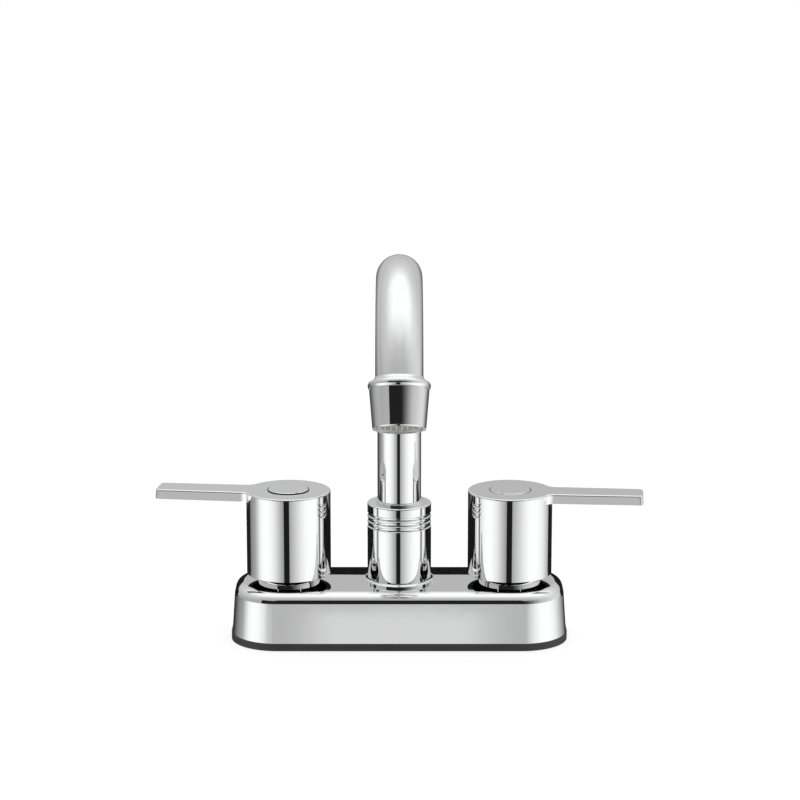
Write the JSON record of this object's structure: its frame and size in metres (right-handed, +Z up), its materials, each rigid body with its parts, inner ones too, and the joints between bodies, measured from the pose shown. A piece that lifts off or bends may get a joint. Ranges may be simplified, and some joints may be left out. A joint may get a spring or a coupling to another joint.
{
  "type": "two-handle centerset faucet",
  "caption": "Chrome centerset deck faucet with a rounded base, cylindrical lever handles and a swivelling gooseneck spout.",
  "frame": {"origin": "centre of the gasket's underside, on the deck", "axes": "+X toward the cold handle, +Y away from the user, +Z up"},
  "size_m": [0.2236, 0.1482, 0.2375],
  "materials": {
    "polished_chrome": "mirror-polished chrome plate",
    "brass": "machined and cast brass",
    "plated_steel": "zinc-plated steel",
    "black_gasket": "black moulded plate",
    "black_rubber": "black moulded rubber",
    "valve_ceramic": "lapped alumina",
    "aerator_plastic": "grey moulded plastic",
    "bushing_plastic": "pale grey bearing plastic"
  },
  "bodies": {
    "fixed_body": {"base_cover": "polished_chrome", "base_gasket": "black_gasket", "underbody": "brass", "spout_post": "brass", "spout_hub": "polished_chrome", "spout_bushing": "bushing_plastic", "spout_trim_ring": "polished_chrome", "hot_shank": "brass", "hot_mounting_washer": "plated_steel", "hot_mounting_nut": "brass", "hot_cartridge_body": "brass", "hot_seat_seal": "black_rubber", "hot_fixed_disc": "valve_ceramic", "hot_collar": "polished_chrome", "cold_shank": "brass", "cold_mounting_washer": "plated_steel", "cold_mounting_nut": "brass", "cold_cartridge_body": "brass", "cold_seat_seal": "black_rubber", "cold_fixed_disc": "valve_ceramic", "cold_collar": "polished_chrome"},
    "hot_handle_set": {"hot_handle": "polished_chrome", "hot_index_button": "polished_chrome", "hot_handle_screw": "plated_steel", "hot_stem": "brass", "hot_stem_o_ring": "black_rubber", "hot_moving_disc": "valve_ceramic"},
    "cold_handle_set": {"cold_handle": "polished_chrome", "cold_index_button": "polished_chrome", "cold_handle_screw": "plated_steel", "cold_stem": "brass", "cold_stem_o_ring": "black_rubber", "cold_moving_disc": "valve_ceramic"},
    "spout": {"spout_tube": "polished_chrome", "spout_foot": "brass", "spout_o_rings": "black_rubber", "spout_retainer": "plated_steel", "outlet_collar": "polished_chrome", "aerator_housing": "polished_chrome", "aerator_insert": "aerator_plastic", "aerator_washer": "black_rubber"}
  },
  "joints": [
    {"name": "hot_valve", "type": "hinge", "parent": "fixed_body", "child": "hot_handle_set", "pos_m": [-0.0508, 0, 0.04], "axis": [0, 0, 1], "range_deg": [0, 90]},
    {"name": "cold_valve", "type": "hinge", "parent": "fixed_body", "child": "cold_handle_set", "pos_m": [0.0508, 0, 0.04], "axis": [0, 0, 1], "range_deg": [-90, 0]},
    {"name": "spout_swivel", "type": "hinge", "parent": "fixed_body", "child": "spout", "pos_m": [0, 0, 0.045], "axis": [0, 0, 1], "continuous": true}
  ]
}
